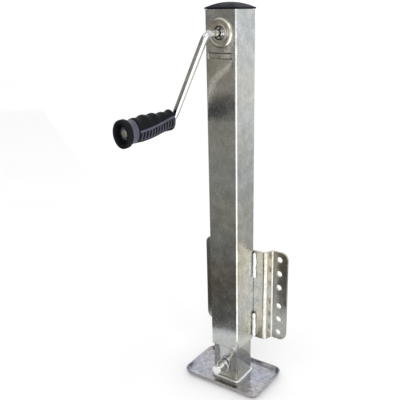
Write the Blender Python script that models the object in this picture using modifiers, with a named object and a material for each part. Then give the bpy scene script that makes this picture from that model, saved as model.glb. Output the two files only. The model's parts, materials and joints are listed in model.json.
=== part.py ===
"""Trailer tongue jack: side-wind crank, square tubes, bolt-on bracket, pinned drop leg.

Metres, +Z up.  The origin is the middle of the foot's sole, the tubes stand on +Z and
the crank sticks out along -Y.  The jack is fully retracted, with its foot on the ground.
"""
import math

import bmesh
import bpy
from mathutils import Matrix, Vector

MM = 0.001
GAP = 0.3 * MM

# Square tubes, one inside the other
TUBE_SIDE = 52.0 * MM
TUBE_WALL = 2.0 * MM
TUBE_CORNER = 2.8 * MM
TUBE_BOTTOM = 69.6 * MM
TUBE_TOP = 606.0 * MM
RAM_SIDE = TUBE_SIDE - 2 * TUBE_WALL - 2 * GAP
RAM_BOTTOM = 7.8 * MM
RAM_TOP = 480.0 * MM
LEG_SIDE = RAM_SIDE - 2 * TUBE_WALL - 2 * GAP
LEG_TOP = 300.0 * MM
LEG_HOLE_PITCH = 38.1 * MM
LEG_HOLES = 6

# Crank shaft and gearing
SHAFT_Z = 575.5 * MM
ROD_RADIUS = 5.0 * MM
ARM_LENGTH = 134.4 * MM
ARM_TILT = math.radians(28.0)
ARM_TOP_Y = -60.0 * MM
ARM_FOOT_Y = -58.0 * MM
ARM_BEND = 9.0 * MM
SPINDLE_LENGTH = 105.2 * MM
SPINDLE_DROOP = math.radians(1.9)
ROD_INNER_Y = 32.0 * MM
CLIP_BORE = ROD_RADIUS - 0.8 * MM
CLIP_START_Y = 28.3 * MM
CLIP_END_Y = 29.5 * MM
GEAR_TEETH = 18
PINION_TEETH = 9
GEAR_RADIUS = 19.0 * MM
PINION_RADIUS = GEAR_RADIUS * PINION_TEETH / GEAR_TEETH
FACE_WIDTH = 7.0 * MM
TOOTH_RISE = 1.0 * MM
TOOTH_DROP = 1.9 * MM
HUB_RADIUS = 8.0 * MM
HUB_END_Y = -27.5 * MM
CROSS_PIN_Y = -24.9 * MM
CROSS_PIN_RADIUS = 2.2 * MM
GEAR_PIN_Z = 550.0 * MM
GEAR_PIN_RADIUS = 2.0 * MM

# Boss round the crank shaft
BOSS_RADIUS = 20.5 * MM
BOSS_RISE = 4.2 * MM
BOSS_BORE = 9.4 * MM
BUSH_OUTER = BOSS_BORE - GAP
BUSH_INNER = HUB_RADIUS + GAP
BUSH_FRONT_Y = -28.2 * MM
BUSH_BACK_Y = -22.9 * MM
REAR_HOLE = ROD_RADIUS + 3 * MM

# Lead screw and thrust bearing
SCREW_RADIUS = 8.0 * MM
JOURNAL_RADIUS = 6.0 * MM
COLLAR_RADIUS = 12.5 * MM
SCREW_BOTTOM = 105.0 * MM
SCREW_TOP = 568.0 * MM
NUT_RADIUS = 15.0 * MM
NUT_LENGTH = 20.0 * MM
CRIMP_LOW = 540.5 * MM
CRIMP_HIGH = 549.5 * MM
CRIMP_DEPTH = 1.4 * MM
PLATE_TOP = CRIMP_LOW - GAP
PLATE_THICK = 5.0 * MM
RACE_RADIUS = 15.0 * MM
RACE_THICK = 3.2 * MM
BALL_RADIUS = 2.2 * MM
BALL_COUNT = 10
BALL_CIRCLE = 11.5 * MM

# Grip
GRIP_START = 9.5 * MM
GRIP_END = 113.0 * MM
GRIP_HOLLOW = 8.0 * MM
GRIP_HOLLOW_RADIUS = 13.6 * MM
GRIP_FLANGE_RADIUS = 19.4 * MM
GRIP_CORE = 8.6 * MM
GRIP_NECK = (0.773, 0.903)
GRIP_OVAL = 0.78
SLEEVE_STEPS = 16

# Mounting bracket
BRACKET_LOW = 72.0 * MM
BRACKET_HIGH = 235.0 * MM
BRACKET_THICK = 4.0 * MM
BRACKET_HALF = 80.8 * MM
BRACKET_WEB_HALF = 47.0 * MM
BRACKET_STEP = 15.0 * MM
BRACKET_WEB_Y = TUBE_SIDE / 2 + GAP
BOLT_X = 66.0 * MM
BOLT_HOLE = 5.2 * MM
BOLT_PITCH = 25.4 * MM
BOLT_MIDDLE = 34.9 * MM
WELD_LENGTH = 47.0 * MM
WELD_RADIUS = 3.0 * MM

# Foot
FOOT_X = 151.0 * MM
FOOT_Y = 95.6 * MM
FOOT_THICK = 3.0 * MM
FOOT_CORNER = 16.0 * MM
FOOT_RIM = 10.5 * MM
FOOT_FLARE = 5.0 * MM

# Pull pin
PIN_Z = 38.0 * MM
PIN_RADIUS = 6.0 * MM
PIN_FRONT_Y = -52.0 * MM
PIN_BACK_Y = 27.0 * MM
PIN_HEAD_RADIUS = 8.0 * MM
PIN_HEAD_LENGTH = 3.0 * MM
PIN_SLEEVE_HOLE = 7.6 * MM
RING_Y = -32.0 * MM
RING_RADIUS = 11.2 * MM
RING_WIRE = 1.0 * MM


def clear_scene():
    for old in list(bpy.data.objects):
        bpy.data.objects.remove(old, do_unlink=True)


def make_collection(name):
    group = bpy.data.collections.new(name)
    bpy.context.scene.collection.children.link(group)
    return group


def make_material(name, colour, roughness, metallic):
    mat = bpy.data.materials.new(name)
    mat.use_nodes = True
    shader = mat.node_tree.nodes["Principled BSDF"]
    shader.inputs["Base Color"].default_value = (*colour, 1.0)
    shader.inputs["Roughness"].default_value = roughness
    shader.inputs["Metallic"].default_value = metallic
    return mat


def add_part(name, mesh, colour, roughness=0.4, metallic=1.0):
    part = bpy.data.objects.new(name, mesh)
    PARTS.objects.link(part)
    mesh.materials.clear()
    mesh.materials.append(make_material(name, colour, roughness, metallic))
    return part


def add_cutter(name, mesh):
    cutter = bpy.data.objects.new(name, mesh)
    CUTTERS.objects.link(cutter)
    cutter.hide_render = True
    cutter.display_type = "WIRE"
    return cutter


def boolean(part, cutter, operation="DIFFERENCE"):
    step = part.modifiers.new(operation.title(), "BOOLEAN")
    step.object = cutter
    step.operation = operation
    step.solver = "EXACT"


def mesh_from(name, bm):
    bmesh.ops.recalc_face_normals(bm, faces=bm.faces)
    mesh = bpy.data.meshes.new(name)
    bm.to_mesh(mesh)
    bm.free()
    return mesh


def axis_turn(axis):
    """Rotation that takes the local Z axis to the named world axis."""
    if axis == "X":
        return Matrix.Rotation(math.pi / 2, 4, "Y")
    if axis == "Y":
        return Matrix.Rotation(-math.pi / 2, 4, "X")
    return Matrix.Identity(4)


def cylinder(name, radius, start, end, axis="Z", centre=(0, 0, 0), sides=24):
    """Closed cylinder from start to end along an axis through centre."""
    bm = bmesh.new()
    bmesh.ops.create_cone(bm, cap_ends=True, segments=sides, radius1=radius, radius2=radius,
                          depth=end - start)
    bmesh.ops.translate(bm, verts=bm.verts, vec=(0, 0, (start + end) / 2))
    bmesh.ops.transform(bm, verts=bm.verts, matrix=Matrix.Translation(centre) @ axis_turn(axis))
    return mesh_from(name, bm)


def box(name, low, high):
    bm = bmesh.new()
    bmesh.ops.create_cube(bm, size=1.0)
    size = Vector(high) - Vector(low)
    middle = (Vector(high) + Vector(low)) / 2
    place = Matrix.Translation(middle) @ Matrix.Diagonal((*size, 1.0))
    bmesh.ops.transform(bm, verts=bm.verts, matrix=place)
    return mesh_from(name, bm)


def ring_solid(name, profile, axis="Z", centre=(0, 0, 0), sides=32):
    """Closed solid turned from (radius, height) points that run round its section."""
    bm = bmesh.new()
    loops = []
    for step in range(sides):
        turn = 2 * math.pi * step / sides
        loops.append([bm.verts.new((r * math.cos(turn), r * math.sin(turn), h)) for r, h in profile])
    count = len(profile)
    for step in range(sides):
        here, there = loops[step], loops[(step + 1) % sides]
        for k in range(count):
            bm.faces.new((here[k], there[k], there[(k + 1) % count], here[(k + 1) % count]))
    bmesh.ops.transform(bm, verts=bm.verts, matrix=Matrix.Translation(centre) @ axis_turn(axis))
    return mesh_from(name, bm)


def washer(name, outer, inner, start, end, axis="Z", centre=(0, 0, 0), sides=32):
    profile = [(inner, start), (outer, start), (outer, end), (inner, end)]
    return ring_solid(name, profile, axis, centre, sides)


def rounded_outline(half_x, half_y, corner, steps=4):
    """Points round a rectangle with round corners, anticlockwise."""
    points = []
    for quarter in range(4):
        sx = 1 if quarter in (0, 3) else -1
        sy = 1 if quarter in (0, 1) else -1
        for k in range(steps + 1):
            turn = math.pi / 2 * (quarter + k / steps)
            points.append((sx * (half_x - corner) + corner * math.cos(turn),
                           sy * (half_y - corner) + corner * math.sin(turn)))
    return points


def loft(name, sections, closed_ring=False):
    """Solid through sections of equal point count; closed_ring joins the last to the first."""
    bm = bmesh.new()
    rings = [[bm.verts.new(point) for point in section] for section in sections]
    pairs = list(zip(rings, rings[1:]))
    if closed_ring:
        pairs.append((rings[-1], rings[0]))
    for here, there in pairs:
        for k in range(len(here)):
            after = (k + 1) % len(here)
            bm.faces.new((here[k], here[after], there[after], there[k]))
    if not closed_ring:
        bm.faces.new(list(reversed(rings[0])))
        bm.faces.new(rings[-1])
    return mesh_from(name, bm)


def square_tube(name, side, bottom, top):
    outer = rounded_outline(side / 2, side / 2, TUBE_CORNER)
    inner_half = side / 2 - TUBE_WALL
    inner = rounded_outline(inner_half, inner_half, TUBE_CORNER - TUBE_WALL)
    sections = [[(x, y, bottom) for x, y in outer], [(x, y, top) for x, y in outer],
                [(x, y, top) for x, y in inner], [(x, y, bottom) for x, y in inner]]
    return loft(name, sections, closed_ring=True)


def turned_rod(name, profile, axis="Z", centre=(0, 0, 0), sides=24):
    """Solid bar turned from (radius, height) points given from one end to the other."""
    turns = [2 * math.pi * k / sides for k in range(sides)]
    sections = [[(r * math.cos(a), r * math.sin(a), h) for a in turns] for r, h in profile]
    mesh = loft(name, sections)
    mesh.transform(Matrix.Translation(centre) @ axis_turn(axis))
    return mesh


def swept_rod(name, path, radius):
    """Round rod along a path, made as a bevelled curve and turned into a closed mesh."""
    curve = bpy.data.curves.new(name, "CURVE")
    curve.dimensions = "3D"
    curve.bevel_depth = radius
    curve.bevel_resolution = 3
    curve.use_fill_caps = True
    spline = curve.splines.new("POLY")
    spline.points.add(len(path) - 1)
    for spot, point in zip(spline.points, path):
        spot.co = (*point, 1.0)
    holder = bpy.data.objects.new(name + "_path", curve)
    bpy.context.scene.collection.objects.link(holder)
    bpy.context.view_layer.update()
    ready = holder.evaluated_get(bpy.context.evaluated_depsgraph_get())
    mesh = bpy.data.meshes.new_from_object(ready)
    bpy.data.objects.remove(holder, do_unlink=True)
    bm = bmesh.new()
    bm.from_mesh(mesh)
    bmesh.ops.remove_doubles(bm, verts=bm.verts, dist=0.00005)
    return mesh_from(name, bm)


def fillet_path(corners, radius, steps=6):
    """Polyline through the corners with each inner corner replaced by an arc."""
    path = [Vector(corners[0])]
    for before, corner, after in zip(corners, corners[1:], corners[2:]):
        corner = Vector(corner)
        back = (Vector(before) - corner).normalized()
        ahead = (Vector(after) - corner).normalized()
        half = back.angle(ahead) / 2
        reach = radius / math.tan(half)
        centre = corner + (back + ahead).normalized() * (radius / math.sin(half))
        start = (corner + back * reach - centre).normalized()
        finish = (corner + ahead * reach - centre).normalized()
        for k in range(steps + 1):
            path.append(centre + start.slerp(finish, k / steps) * radius)
    path.append(Vector(corners[-1]))
    return path


# ---------------------------------------------------------------- housing

def build_outer_tube():
    mesh = square_tube("outer_tube", TUBE_SIDE, TUBE_BOTTOM, TUBE_TOP)
    tube = add_part("outer_tube", mesh, (0.62, 0.64, 0.66), 0.32)
    front = cylinder("front_shaft_hole", BOSS_BORE, -30 * MM, -20 * MM, "Y", (0, 0, SHAFT_Z))
    boolean(tube, add_cutter("front_shaft_hole", front))
    back = cylinder("back_shaft_hole", REAR_HOLE, 20 * MM, 30 * MM, "Y", (0, 0, SHAFT_Z))
    boolean(tube, add_cutter("back_shaft_hole", back))
    for side, name in ((-1, "front"), (1, "back")):
        wall = side * TUBE_SIDE / 2
        depths = sorted((wall - side * 1.3 * MM, wall - side * (TUBE_WALL + CRIMP_DEPTH)))
        bead = box(name + "_bead", (-16 * MM, depths[0], CRIMP_LOW), (16 * MM, depths[1], CRIMP_HIGH))
        boolean(tube, add_cutter(name + "_bead", bead), "UNION")
        groove = box(name + "_groove", (-20.5 * MM, wall - 1.1 * MM, CRIMP_LOW + 0.8 * MM),
                     (20.5 * MM, wall + 1.1 * MM, CRIMP_HIGH - 0.8 * MM))
        boolean(tube, add_cutter(name + "_groove", groove))


def build_top_cap():
    half = TUBE_SIDE / 2
    plug = half - TUBE_WALL - GAP
    lip = half + 1.4 * MM
    sections = [(plug, TUBE_TOP - 12 * MM, 2.2 * MM), (plug, TUBE_TOP + GAP, 2.2 * MM),
                (lip, TUBE_TOP + GAP, 4.0 * MM), (lip, TUBE_TOP + 2.6 * MM, 4.0 * MM),
                (lip - 2 * MM, TUBE_TOP + 4.8 * MM, 5.0 * MM), (lip - 7 * MM, TUBE_TOP + 7.5 * MM, 6.5 * MM),
                (lip - 14 * MM, TUBE_TOP + 9.6 * MM, 7.0 * MM)]
    rings = []
    for reach, height, corner in sections:
        rings.append([(x, y, height) for x, y in rounded_outline(reach, reach, corner)])
    cap = add_part("top_cap", loft("top_cap", rings), (0.012, 0.013, 0.018), 0.35, 0.0)
    core = box("cap_hollow", (-plug + 2 * MM, -plug + 2 * MM, TUBE_TOP - 13 * MM),
               (plug - 2 * MM, plug - 2 * MM, TUBE_TOP + 2 * MM))
    boolean(cap, add_cutter("cap_hollow", core))


def build_crank_boss():
    """Pressed disc: flat face, rounded rim."""
    base = -(TUBE_SIDE / 2 + GAP)
    face = base - BOSS_RISE
    profile = [(BOSS_BORE, base), (BOSS_BORE, face + 0.6 * MM), (BOSS_BORE + 0.8 * MM, face),
               (BOSS_RADIUS - 4.0 * MM, face), (BOSS_RADIUS - 2.0 * MM, face + 0.7 * MM),
               (BOSS_RADIUS - 0.7 * MM, face + 1.9 * MM), (BOSS_RADIUS, face + 3.4 * MM), (BOSS_RADIUS, base)]
    mesh = ring_solid("crank_boss", profile, "Y", (0, 0, SHAFT_Z), 40)
    add_part("crank_boss", mesh, (0.62, 0.62, 0.58), 0.22)


def build_bushings():
    bronze = (0.55, 0.38, 0.16)
    centre = (0, 0, SHAFT_Z)
    front = washer("shaft_bushing", BUSH_OUTER, BUSH_INNER, BUSH_FRONT_Y, BUSH_BACK_Y, "Y", centre)
    add_part("shaft_bushing", front, bronze, 0.35)
    inner = ROD_RADIUS + GAP
    outer = REAR_HOLE - GAP
    inside = TUBE_SIDE / 2 - TUBE_WALL - 2.5 * MM
    outside = TUBE_SIDE / 2 + GAP
    collar = REAR_HOLE + 2.4 * MM
    profile = [(inner, inside), (outer, inside), (outer, outside), (collar, outside),
               (collar, outside + 1.7 * MM), (inner, outside + 1.7 * MM)]
    add_part("rear_bushing", ring_solid("rear_bushing", profile, "Y", centre), bronze, 0.35)


def build_bearing():
    reach = TUBE_SIDE / 2 - TUBE_WALL - GAP
    low = PLATE_TOP - PLATE_THICK
    outline = rounded_outline(reach, reach, 2.3 * MM)
    levels = [[(x, y, z) for x, y in outline] for z in (low, PLATE_TOP)]
    plate = loft("bearing_plate", levels)
    plate_part = add_part("bearing_plate", plate, (0.35, 0.35, 0.36), 0.45)
    hole = cylinder("plate_hole", JOURNAL_RADIUS + 1 * MM, low - MM, PLATE_TOP + MM)
    boolean(plate_part, add_cutter("plate_hole", hole))
    upper_low = low - GAP - RACE_THICK
    upper = washer("bearing_upper_race", RACE_RADIUS, JOURNAL_RADIUS + GAP, upper_low, low - GAP)
    add_part("bearing_upper_race", upper, (0.7, 0.7, 0.72), 0.2)
    ball_z = upper_low - GAP - BALL_RADIUS
    lower_top = ball_z - BALL_RADIUS - GAP
    lower_low = lower_top - RACE_THICK
    lower = washer("bearing_lower_race", RACE_RADIUS, JOURNAL_RADIUS + GAP, lower_low, lower_top)
    add_part("bearing_lower_race", lower, (0.7, 0.7, 0.72), 0.2)
    cage = washer("bearing_ball_cage", 14.4 * MM, 8.6 * MM, ball_z - 0.8 * MM, ball_z + 0.8 * MM)
    cage_part = add_part("bearing_ball_cage", cage, (0.6, 0.5, 0.25), 0.3)
    for k in range(BALL_COUNT):
        turn = 2 * math.pi * (k + 0.5) / BALL_COUNT
        bm = bmesh.new()
        bmesh.ops.create_uvsphere(bm, u_segments=10, v_segments=6, radius=BALL_RADIUS)
        bmesh.ops.translate(bm, verts=bm.verts,
                            vec=(BALL_CIRCLE * math.cos(turn), BALL_CIRCLE * math.sin(turn), ball_z))
        boolean(cage_part, add_cutter("ball_%d" % k, mesh_from("ball_%d" % k, bm)), "UNION")
    return lower_low


def bracket_section():
    """Middle line of the folded plate, from the left flange to the right one."""
    web = BRACKET_WEB_Y + BRACKET_THICK / 2
    flange = web + BRACKET_STEP
    right = [(BRACKET_WEB_HALF, web), (BRACKET_WEB_HALF + 5 * MM, flange), (BRACKET_HALF, flange)]
    left = [(-x, y) for x, y in reversed(right)]
    corners = [(x, y, 0.0) for x, y in left + right]
    return fillet_path(corners, 5 * MM, 3)


def build_bracket():
    bm = bmesh.new()
    line = bracket_section()
    low = [bm.verts.new((p.x, p.y, BRACKET_LOW)) for p in line]
    high = [bm.verts.new((p.x, p.y, BRACKET_HIGH)) for p in line]
    for k in range(len(line) - 1):
        bm.faces.new((low[k], low[k + 1], high[k + 1], high[k]))
    plate = add_part("mounting_bracket", mesh_from("mounting_bracket", bm), (0.6, 0.61, 0.6), 0.34)
    thick = plate.modifiers.new("Thickness", "SOLIDIFY")
    thick.thickness = BRACKET_THICK
    thick.offset = 0.0
    thick.use_even_offset = True
    middle = (BRACKET_LOW + BRACKET_HIGH) / 2
    trim = 0.05 * MM
    half_high = (BRACKET_HIGH - BRACKET_LOW) / 2
    outline = rounded_outline(BRACKET_HALF - trim, half_high - trim, 12 * MM, 6)
    sections = [[(x, y, z + middle) for x, z in outline] for y in (15 * MM, 60 * MM)]
    boolean(plate, add_cutter("bracket_outline", loft("bracket_outline", sections)), "INTERSECT")
    first = BOLT_MIDDLE / 2
    for side in (-1, 1):
        for step in (first, first + BOLT_PITCH, first + 2 * BOLT_PITCH):
            for updown in (-1, 1):
                name = "bolt_hole_%d" % len(CUTTERS.objects)
                centre = (side * BOLT_X, 0, middle + updown * step)
                hole = cylinder(name, BOLT_HOLE, 35 * MM, 55 * MM, "Y", centre, 20)
                boolean(plate, add_cutter(name, hole))


def weld_bead(name, side, low):
    """Rippled bead in the corner between the tube's side and the bracket's web."""
    bm = bmesh.new()
    rings = []
    steps = 18
    for k in range(steps + 1):
        along = k / steps
        swell = 1.0 + 0.10 * math.sin(along * steps * math.pi * 0.9)
        taper = min(1.0, 0.45 + 6 * min(along, 1 - along))
        radius = WELD_RADIUS * swell * taper * 0.9
        ring = []
        for j in range(8):
            turn = 2 * math.pi * j / 8
            x = TUBE_SIDE / 2 + GAP + WELD_RADIUS + radius * math.cos(turn)
            y = TUBE_SIDE / 2 - WELD_RADIUS + radius * math.sin(turn)
            ring.append(bm.verts.new((side * x, y, low + WELD_LENGTH * along)))
        rings.append(ring)
    for here, there in zip(rings, rings[1:]):
        for j in range(8):
            bm.faces.new((here[j], here[(j + 1) % 8], there[(j + 1) % 8], there[j]))
    bm.faces.new(list(reversed(rings[0])))
    bm.faces.new(rings[-1])
    add_part(name, mesh_from(name, bm), (0.66, 0.66, 0.64), 0.45)


def build_bracket_welds():
    for side, side_name in ((1, "right"), (-1, "left")):
        weld_bead("bracket_weld_upper_" + side_name, side, BRACKET_HIGH - WELD_LENGTH - 1 * MM)
        weld_bead("bracket_weld_lower_" + side_name, side, BRACKET_LOW + 2 * MM)


# ------------------------------------------------------------------ crank

def arm_end():
    drop = ARM_LENGTH * math.cos(ARM_TILT)
    return Vector((-ARM_LENGTH * math.sin(ARM_TILT), ARM_FOOT_Y, SHAFT_Z - drop))


def spindle_direction():
    return Vector((0, -math.cos(SPINDLE_DROOP), -math.sin(SPINDLE_DROOP)))


def build_crank_rod():
    low = arm_end()
    tip = low + spindle_direction() * SPINDLE_LENGTH
    path = fillet_path([(0, ROD_INNER_Y, SHAFT_Z), (0, ARM_TOP_Y, SHAFT_Z), low, tip], ARM_BEND)
    rod = add_part("crank_rod", swept_rod("crank_rod", path, ROD_RADIUS), (0.72, 0.72, 0.72), 0.2)
    crossing = (0, CROSS_PIN_Y, SHAFT_Z)
    hole = cylinder("cross_hole", CROSS_PIN_RADIUS + GAP, -12 * MM, 12 * MM, "Z", crossing, 16)
    boolean(rod, add_cutter("cross_hole", hole))
    groove = washer("clip_groove", 8 * MM, CLIP_BORE - GAP, CLIP_START_Y - GAP, CLIP_END_Y + GAP,
                    "Y", (0, 0, SHAFT_Z), 24)
    boolean(rod, add_cutter("clip_groove", groove))
    pin = cylinder("crank_pin", CROSS_PIN_RADIUS, -7.6 * MM, 7.6 * MM, "Z", crossing, 16)
    add_part("crank_pin", pin, (0.7, 0.7, 0.7), 0.25)


def build_shaft_clip():
    clip = washer("shaft_clip", 8.5 * MM, CLIP_BORE, CLIP_START_Y, CLIP_END_Y, "Y", (0, 0, SHAFT_Z), 24)
    part = add_part("shaft_clip", clip, (0.25, 0.25, 0.26), 0.35)
    mouth = box("clip_mouth", (-2.4 * MM, 27 * MM, SHAFT_Z - 10 * MM), (2.4 * MM, 31 * MM, SHAFT_Z))
    boolean(part, add_cutter("clip_mouth", mouth))


def gear_outline(teeth, radius, scale, phase):
    """Trapezoid teeth round a circle, four points each, narrower than the gaps."""
    points = []
    rise, drop = TOOTH_RISE * scale, TOOTH_DROP * scale
    pitch = 2 * math.pi / teeth
    for k in range(teeth):
        middle = phase + k * pitch
        for share, reach in ((-0.27, -drop), (-0.12, rise), (0.12, rise), (0.27, -drop)):
            turn = middle + share * pitch
            points.append(((radius + reach) * math.cos(turn), (radius + reach) * math.sin(turn)))
    return points


def bevel_gear_mesh(name, teeth, radius, other_radius, phase):
    """Toothed cone, local Z towards the apex at the origin, large end furthest away."""
    cone = math.hypot(radius, other_radius)
    small = (cone - FACE_WIDTH) / cone
    lean = math.atan2(radius, other_radius)
    sections = []
    for scale in (1.0, small):
        section = []
        for x, y in gear_outline(teeth, radius * scale, scale, phase):
            reach = math.hypot(x, y)
            offset = reach - radius * scale
            height = -other_radius * scale + offset * math.sin(lean)
            shrink = (radius * scale + offset * math.cos(lean)) / reach
            section.append((x * shrink, y * shrink, height))
        sections.append(section)
    bm = bmesh.new()
    rings = [[bm.verts.new(point) for point in section] for section in sections]
    count = len(rings[0])
    for k in range(count):
        after = (k + 1) % count
        bm.faces.new((rings[0][k], rings[0][after], rings[1][after], rings[1][k]))
    base = bm.verts.new((0, 0, -other_radius - 1.6 * MM))
    top = bm.verts.new((0, 0, -other_radius * small - 0.6 * MM))
    for k in range(count):
        after = (k + 1) % count
        bm.faces.new((rings[0][after], rings[0][k], base))
        bm.faces.new((rings[1][k], rings[1][after], top))
    return bm


def build_driven_gear():
    bm = bevel_gear_mesh("driven_gear", GEAR_TEETH, GEAR_RADIUS, PINION_RADIUS, 0.0)
    bmesh.ops.translate(bm, verts=bm.verts, vec=(0, 0, SHAFT_Z))
    gear = add_part("driven_gear", mesh_from("driven_gear", bm), (0.42, 0.42, 0.43), 0.35)
    hub = cylinder("gear_hub", 11 * MM, PLATE_TOP + GAP + 0.5 * MM, SHAFT_Z - PINION_RADIUS - MM)
    boolean(gear, add_cutter("gear_hub", hub), "UNION")
    bore = cylinder("gear_bore", JOURNAL_RADIUS + GAP, 500 * MM, 600 * MM)
    boolean(gear, add_cutter("gear_bore", bore))
    crossing = (0, 0, GEAR_PIN_Z)
    pin_hole = cylinder("gear_pin_hole", GEAR_PIN_RADIUS + GAP, -20 * MM, 20 * MM, "X", crossing, 12)
    boolean(gear, add_cutter("gear_pin_hole", pin_hole))
    pin = cylinder("gear_pin", GEAR_PIN_RADIUS, -10.8 * MM, 10.8 * MM, "X", crossing, 12)
    add_part("gear_pin", pin, (0.6, 0.6, 0.62), 0.3)


def build_drive_pinion():
    bm = bevel_gear_mesh("drive_pinion", PINION_TEETH, PINION_RADIUS, GEAR_RADIUS, math.pi / 2)
    bmesh.ops.transform(bm, verts=bm.verts, matrix=Matrix.Translation((0, 0, SHAFT_Z)) @ PINION_TURN)
    pinion = add_part("drive_pinion", mesh_from("drive_pinion", bm), (0.42, 0.42, 0.43), 0.35)
    hub = cylinder("pinion_hub", HUB_RADIUS, HUB_END_Y, -(GEAR_RADIUS - MM), "Y", (0, 0, SHAFT_Z), 28)
    boolean(pinion, add_cutter("pinion_hub", hub), "UNION")
    bore = cylinder("pinion_bore", ROD_RADIUS + GAP, -40 * MM, 10 * MM, "Y", (0, 0, SHAFT_Z))
    boolean(pinion, add_cutter("pinion_bore", bore))
    half = CROSS_PIN_RADIUS + GAP
    slot = box("hub_slot", (-half, HUB_END_Y - MM, SHAFT_Z - 12 * MM),
               (half, CROSS_PIN_Y + half, SHAFT_Z + 12 * MM))
    boolean(pinion, add_cutter("hub_slot", slot))


# Local Z of the pinion points along +Y, towards the middle of the jack
PINION_TURN = Matrix.Rotation(-math.pi / 2, 4, "X")


def build_thrust_washer():
    start = BUSH_BACK_Y + GAP + 0.1 * MM
    mesh = washer("pinion_washer", 12 * MM, BUSH_INNER, start, start + 1.4 * MM, "Y", (0, 0, SHAFT_Z))
    add_part("pinion_washer", mesh, (0.5, 0.5, 0.5), 0.35)


# ------------------------------------------------------------------- grip

def grip_frame():
    """Local Z runs along the spindle, outwards from the lower bend of the arm."""
    along = spindle_direction()
    return Matrix.Translation(arm_end()) @ Vector((0, 0, 1)).rotation_difference(along).to_matrix().to_4x4()


def add_grip_part(name, mesh, colour, roughness):
    """Squeezes a turned piece to an oval, narrower across than high, and leaves its bore round."""
    for vertex in mesh.vertices:
        if math.hypot(vertex.co.x, vertex.co.y) > GRIP_CORE + MM:
            vertex.co.x *= GRIP_OVAL
    mesh.transform(grip_frame())
    add_part(name, mesh, colour, roughness, 0.0)


def grip_ring(name, start, end, sizes, colour, roughness, bore):
    """Turned piece of the grip between two distances along the spindle, radii spaced evenly."""
    profile = [(bore, start)]
    for k, radius in enumerate(sizes):
        profile.append((radius, start + (end - start) * k / (len(sizes) - 1)))
    profile.append((bore, end))
    add_grip_part(name, ring_solid(name, profile, sides=24), colour, roughness)


def sleeve_sizes():
    """Flared end, waist and belly, with four finger swells along them."""
    sizes = []
    for k in range(SLEEVE_STEPS + 1):
        along = k / SLEEVE_STEPS
        belly = 14.4 + 3.9 * math.sin(math.pi / 2 * min(1.0, along / 0.75)) ** 2
        flare = 1.2 * max(0.0, 1 - along / 0.16)
        close = 1.6 * max(0.0, (along - 0.86) / 0.14) ** 2
        swell = 0.5 * math.cos(2 * math.pi * 4 * along)
        sizes.append((belly + flare - close - swell) * MM)
    return sizes


def build_grip():
    black = (0.02, 0.022, 0.026)
    grey = (0.1, 0.105, 0.13)
    length = GRIP_END - GRIP_START
    floor = GRIP_END - GRIP_HOLLOW
    grip_ring("grip_core", GRIP_START, floor - GAP, [GRIP_CORE] * 2, grey, 0.5, ROD_RADIUS + GAP)
    neck_start = GRIP_START + GRIP_NECK[0] * length
    neck_end = GRIP_START + GRIP_NECK[1] * length
    outer = GRIP_CORE + GAP
    grip_ring("grip_sleeve", GRIP_START, neck_start - GAP, sleeve_sizes(), black, 0.65, outer)
    neck = [15.6 * MM, 16.4 * MM, 16.4 * MM, 17.2 * MM]
    grip_ring("grip_band", neck_start, neck_end - GAP, neck, grey, 0.5, outer)
    rim = GRIP_FLANGE_RADIUS
    flange = [(outer, neck_end), (rim - 1.6 * MM, neck_end), (rim, neck_end + 2 * MM),
              (rim, GRIP_END - 2.4 * MM), (rim - 1.8 * MM, GRIP_END),
              (GRIP_HOLLOW_RADIUS + 1.2 * MM, GRIP_END), (GRIP_HOLLOW_RADIUS, GRIP_END - 1.6 * MM),
              (GRIP_HOLLOW_RADIUS, floor), (outer, floor)]
    add_grip_part("grip_flange", ring_solid("grip_flange", flange, sides=24), black, 0.65)
    cap = cylinder("grip_retainer", 6.0 * MM, SPINDLE_LENGTH + GAP, SPINDLE_LENGTH + 2.2 * MM)
    cap.transform(grip_frame())
    add_part("grip_retainer", cap, (0.45, 0.45, 0.45), 0.4)


# ----------------------------------------------------- screw, ram and foot

def build_lead_screw(shoulder):
    collar = shoulder - 8 * MM
    profile = [(SCREW_RADIUS - 1.5 * MM, SCREW_BOTTOM), (SCREW_RADIUS, SCREW_BOTTOM + 1.5 * MM),
               (SCREW_RADIUS, collar), (COLLAR_RADIUS, collar), (COLLAR_RADIUS, shoulder - GAP),
               (JOURNAL_RADIUS, shoulder - GAP), (JOURNAL_RADIUS, SCREW_TOP)]
    screw = add_part("lead_screw", turned_rod("lead_screw", profile), (0.4, 0.39, 0.36), 0.35)
    crossing = (0, 0, GEAR_PIN_Z)
    hole = cylinder("journal_hole", GEAR_PIN_RADIUS + GAP, -20 * MM, 20 * MM, "X", crossing, 12)
    boolean(screw, add_cutter("journal_hole", hole))


def build_ram():
    mesh = square_tube("ram_tube", RAM_SIDE, RAM_BOTTOM, RAM_TOP)
    tube = add_part("ram_tube", mesh, (0.66, 0.67, 0.68), 0.3)
    across = cylinder("ram_pin_hole", PIN_SLEEVE_HOLE, -40 * MM, 40 * MM, "Y", (0, 0, PIN_Z), 20)
    boolean(tube, add_cutter("ram_pin_hole", across))
    reach = RAM_SIDE / 2
    flange = rounded_outline(reach, reach, TUBE_CORNER)
    levels = [[(x, y, z) for x, y in flange] for z in (RAM_TOP + GAP, RAM_TOP + 5 * MM)]
    nut = add_part("ram_nut", loft("ram_nut", levels), (0.5, 0.45, 0.35), 0.4)
    barrel = cylinder("nut_barrel", NUT_RADIUS, RAM_TOP - NUT_LENGTH, RAM_TOP + MM)
    boolean(nut, add_cutter("nut_barrel", barrel), "UNION")
    bore = cylinder("nut_bore", SCREW_RADIUS + GAP, RAM_TOP - 30 * MM, RAM_TOP + 10 * MM)
    boolean(nut, add_cutter("nut_bore", bore))


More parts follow.
